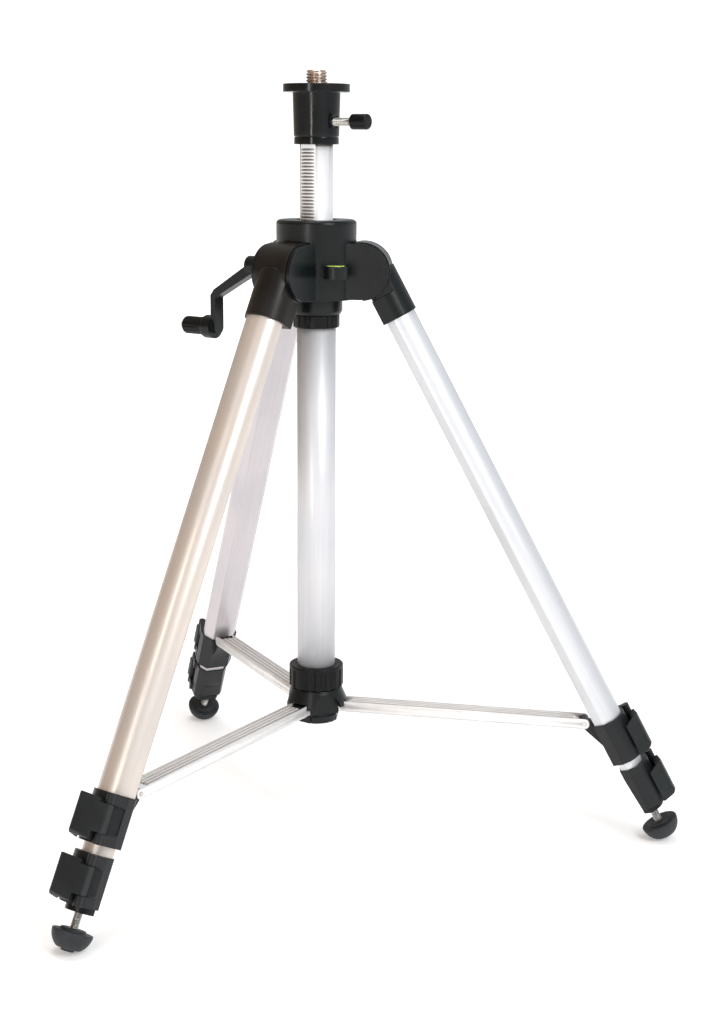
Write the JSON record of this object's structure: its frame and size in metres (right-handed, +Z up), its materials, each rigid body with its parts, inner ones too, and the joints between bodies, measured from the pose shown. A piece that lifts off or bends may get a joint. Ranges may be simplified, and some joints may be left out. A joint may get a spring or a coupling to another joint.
{
  "type": "laser level on tripod",
  "caption": "Crank-up instrument tripod with rack column, threaded stud mount, telescoping lever-clamp legs, sliding spreader, bubble level and swivelling rubber-capped feet.",
  "frame": {"origin": "centre of the stud's base, on the flat seat of the mount head", "axes": "+Z up the column; +X out over the right-hand leg; the legs stand at 0, 120 and 240 degrees about Z"},
  "size_m": [0.4464, 0.5098, 0.5975],
  "materials": {
    "black_moulding": "satin moulded",
    "black_grip": "satin moulded",
    "bearing_plastic": "matte",
    "anodised_tube": "satin anodised",
    "column_metal": "satin",
    "steel": "zinc plated",
    "zinc_stud": "yellow zinc plated",
    "vial_glass": "tinted clear",
    "strut_metal": "mill",
    "foot_rubber": "moulded"
  },
  "bodies": {
    "head": {"head_casting": "black_moulding", "column_bushings": "bearing_plastic", "tube_collar": "black_moulding", "guide_tube": "anodised_tube", "tube_plug": "bearing_plastic", "level_vial": "vial_glass"},
    "column": {"rack_column": "column_metal", "column_guide": "bearing_plastic"},
    "mount": {"mount_head": "black_moulding", "mount_stud": "zinc_stud"},
    "clamp_knob": {"clamp_screw": "steel", "clamp_cap": "black_grip"},
    "upper_ring": {"upper_lock_ring": "black_grip"},
    "crank": {"crank_shaft": "steel", "pinion": "steel", "crank_arm": "black_moulding", "crank_pin": "steel"},
    "crank_handle": {"crank_grip": "black_grip"},
    "hub": {"spreader_hub": "black_moulding", "hub_pins": "steel"},
    "lower_ring": {"lower_lock_ring": "black_grip"},
    "right_strut": {"strut_right": "strut_metal"},
    "right_leg": {"right_knuckle": "black_moulding", "right_pins": "steel", "right_upper_tube": "anodised_tube", "right_upper_clamp": "black_moulding"},
    "right_upper_flip": {"right_upper_lever": "black_grip"},
    "right_mid": {"right_mid_tube": "anodised_tube", "right_lower_clamp": "black_moulding"},
    "right_lower_flip": {"right_lower_lever": "black_grip"},
    "right_low": {"right_lower_tube": "anodised_tube", "right_foot_plug": "black_moulding", "right_foot_stem": "steel"},
    "right_foot_pad": {"right_foot": "foot_rubber"},
    "rear_strut": {"strut_rear": "strut_metal"},
    "rear_leg": {"rear_knuckle": "black_moulding", "rear_pins": "steel", "rear_upper_tube": "anodised_tube", "rear_upper_clamp": "black_moulding"},
    "rear_upper_flip": {"rear_upper_lever": "black_grip"},
    "rear_mid": {"rear_mid_tube": "anodised_tube", "rear_lower_clamp": "black_moulding"},
    "rear_lower_flip": {"rear_lower_lever": "black_grip"},
    "rear_low": {"rear_lower_tube": "anodised_tube", "rear_foot_plug": "black_moulding", "rear_foot_stem": "steel"},
    "rear_foot_pad": {"rear_foot": "foot_rubber"},
    "front_strut": {"strut_front": "strut_metal"},
    "front_leg": {"front_knuckle": "black_moulding", "front_pins": "steel", "front_upper_tube": "anodised_tube", "front_upper_clamp": "black_moulding"},
    "front_upper_flip": {"front_upper_lever": "black_grip"},
    "front_mid": {"front_mid_tube": "anodised_tube", "front_lower_clamp": "black_moulding"},
    "front_lower_flip": {"front_lower_lever": "black_grip"},
    "front_low": {"front_lower_tube": "anodised_tube", "front_foot_plug": "black_moulding", "front_foot_stem": "steel"},
    "front_foot_pad": {"front_foot": "foot_rubber"}
  },
  "joints": [
    {"name": "hub_slide", "type": "slide", "parent": "head", "child": "hub", "axis": [0, 0, 1], "range_m": [0, 0.14429]},
    {"name": "right_strut_fold", "type": "hinge", "parent": "hub", "child": "right_strut", "pos_m": [0.02, 0, -0.484], "axis": [0, 1, 0], "range_deg": [0, 83.56]},
    {"name": "right_leg_fold", "type": "hinge", "parent": "right_strut", "child": "right_leg", "pos_m": [0.21479, 0, -0.4913], "axis": [0, 1, 0], "range_deg": [-56.56, 0]},
    {"name": "right_upper_flip", "type": "hinge", "parent": "right_leg", "child": "right_upper_flip", "pos_m": [0.25485, 0.0109, -0.49544], "axis": [-0.4704, 0, 0.8825], "range_deg": [0, 95]},
    {"name": "right_mid_extend", "type": "slide", "parent": "right_leg", "child": "right_mid", "axis": [0.4704, 0, -0.8825], "range_m": [0, 0.29]},
    {"name": "right_lower_flip", "type": "hinge", "parent": "right_mid", "child": "right_lower_flip", "pos_m": [0.27507, 0.0109, -0.53339], "axis": [-0.4704, 0, 0.8825], "range_deg": [0, 95]},
    {"name": "right_low_extend", "type": "slide", "parent": "right_mid", "child": "right_low", "axis": [0.4704, 0, -0.8825], "range_m": [0, 0.28]},
    {"name": "right_foot_screw", "type": "slide", "parent": "right_low", "child": "right_foot_pad", "axis": [-0.4704, 0, 0.8825], "range_m": [0, 0.011]},
    {"name": "rear_strut_fold", "type": "hinge", "parent": "hub", "child": "rear_strut", "pos_m": [-0.01, 0.01732, -0.484], "axis": [-0.866, -0.5, 0], "range_deg": [0, 83.56]},
    {"name": "rear_leg_fold", "type": "hinge", "parent": "rear_strut", "child": "rear_leg", "pos_m": [-0.10739, 0.18601, -0.4913], "axis": [-0.866, -0.5, 0], "range_deg": [-56.56, 0]},
    {"name": "rear_upper_flip", "type": "hinge", "parent": "rear_leg", "child": "rear_upper_flip", "pos_m": [-0.13686, 0.21525, -0.49544], "axis": [0.2352, -0.4074, 0.8825], "range_deg": [0, 95]},
    {"name": "rear_mid_extend", "type": "slide", "parent": "rear_leg", "child": "rear_mid", "axis": [-0.2352, 0.4074, -0.8825], "range_m": [0, 0.29]},
    {"name": "rear_lower_flip", "type": "hinge", "parent": "rear_mid", "child": "rear_lower_flip", "pos_m": [-0.14698, 0.23277, -0.53339], "axis": [0.2352, -0.4074, 0.8825], "range_deg": [0, 95]},
    {"name": "rear_low_extend", "type": "slide", "parent": "rear_mid", "child": "rear_low", "axis": [-0.2352, 0.4074, -0.8825], "range_m": [0, 0.28]},
    {"name": "rear_foot_screw", "type": "slide", "parent": "rear_low", "child": "rear_foot_pad", "axis": [0.2352, -0.4074, 0.8825], "range_m": [0, 0.011]},
    {"name": "front_strut_fold", "type": "hinge", "parent": "hub", "child": "front_strut", "pos_m": [-0.01, -0.01732, -0.484], "axis": [0.866, -0.5, 0], "range_deg": [0, 83.56]},
    {"name": "front_leg_fold", "type": "hinge", "parent": "front_strut", "child": "front_leg", "pos_m": [-0.10739, -0.18601, -0.4913], "axis": [0.866, -0.5, 0], "range_deg": [-56.56, 0]},
    {"name": "front_upper_flip", "type": "hinge", "parent": "front_leg", "child": "front_upper_flip", "pos_m": [-0.11798, -0.22615, -0.49544], "axis": [0.2352, 0.4074, 0.8825], "range_deg": [0, 95]},
    {"name": "front_mid_extend", "type": "slide", "parent": "front_leg", "child": "front_mid", "axis": [-0.2352, -0.4074, -0.8825], "range_m": [0, 0.29]},
    {"name": "front_lower_flip", "type": "hinge", "parent": "front_mid", "child": "front_lower_flip", "pos_m": [-0.1281, -0.24367, -0.53339], "axis": [0.2352, 0.4074, 0.8825], "range_deg": [0, 95]},
    {"name": "front_low_extend", "type": "slide", "parent": "front_mid", "child": "front_low", "axis": [-0.2352, -0.4074, -0.8825], "range_m": [0, 0.28]},
    {"name": "front_foot_screw", "type": "slide", "parent": "front_low", "child": "front_foot_pad", "axis": [0.2352, 0.4074, 0.8825], "range_m": [0, 0.011]},
    {"name": "lower_ring_turn", "type": "hinge", "parent": "hub", "child": "lower_ring", "pos_m": [0, 0, -0.46], "axis": [0, 0, 1], "range_deg": [-90, 90]},
    {"name": "upper_ring_turn", "type": "hinge", "parent": "head", "child": "upper_ring", "pos_m": [0, 0, -0.176], "axis": [0, 0, 1], "range_deg": [-90, 90]},
    {"name": "column_lift", "type": "slide", "parent": "head", "child": "column", "axis": [0, 0, 1], "range_m": [-0.045, 0.235]},
    {"name": "crank_turn", "type": "hinge", "parent": "head", "child": "crank", "pos_m": [-0.00825, -0.01429, -0.1355], "axis": [0.866, -0.5, 0], "range_deg": [-538, 2806]},
    {"name": "crank_handle_spin", "type": "hinge", "parent": "crank", "child": "crank_handle", "pos_m": [-0.09918, 0.03821, -0.1855], "axis": [0.866, -0.5, 0], "continuous": true},
    {"name": "mount_turn", "type": "hinge", "parent": "column", "child": "mount", "pos_m": [0, 0, -0.02], "axis": [0, 0, 1], "continuous": true},
    {"name": "clamp_knob_turn", "type": "hinge", "parent": "mount", "child": "clamp_knob", "pos_m": [0.01766, -0.00939, -0.0275], "axis": [0.8829, -0.4695, 0], "range_deg": [-180, 180]}
  ],
  "couplings": [
    {"joint": "right_strut_fold", "follows": "hub_slide", "rad_per_m": 10.106},
    {"joint": "right_leg_fold", "follows": "hub_slide", "rad_per_m": -6.8401},
    {"joint": "rear_strut_fold", "follows": "hub_slide", "rad_per_m": 10.106},
    {"joint": "rear_leg_fold", "follows": "hub_slide", "rad_per_m": -6.8401},
    {"joint": "front_strut_fold", "follows": "hub_slide", "rad_per_m": 10.106},
    {"joint": "front_leg_fold", "follows": "hub_slide", "rad_per_m": -6.8401},
    {"joint": "crank_turn", "follows": "column_lift", "rad_per_m": 208.33}
  ]
}
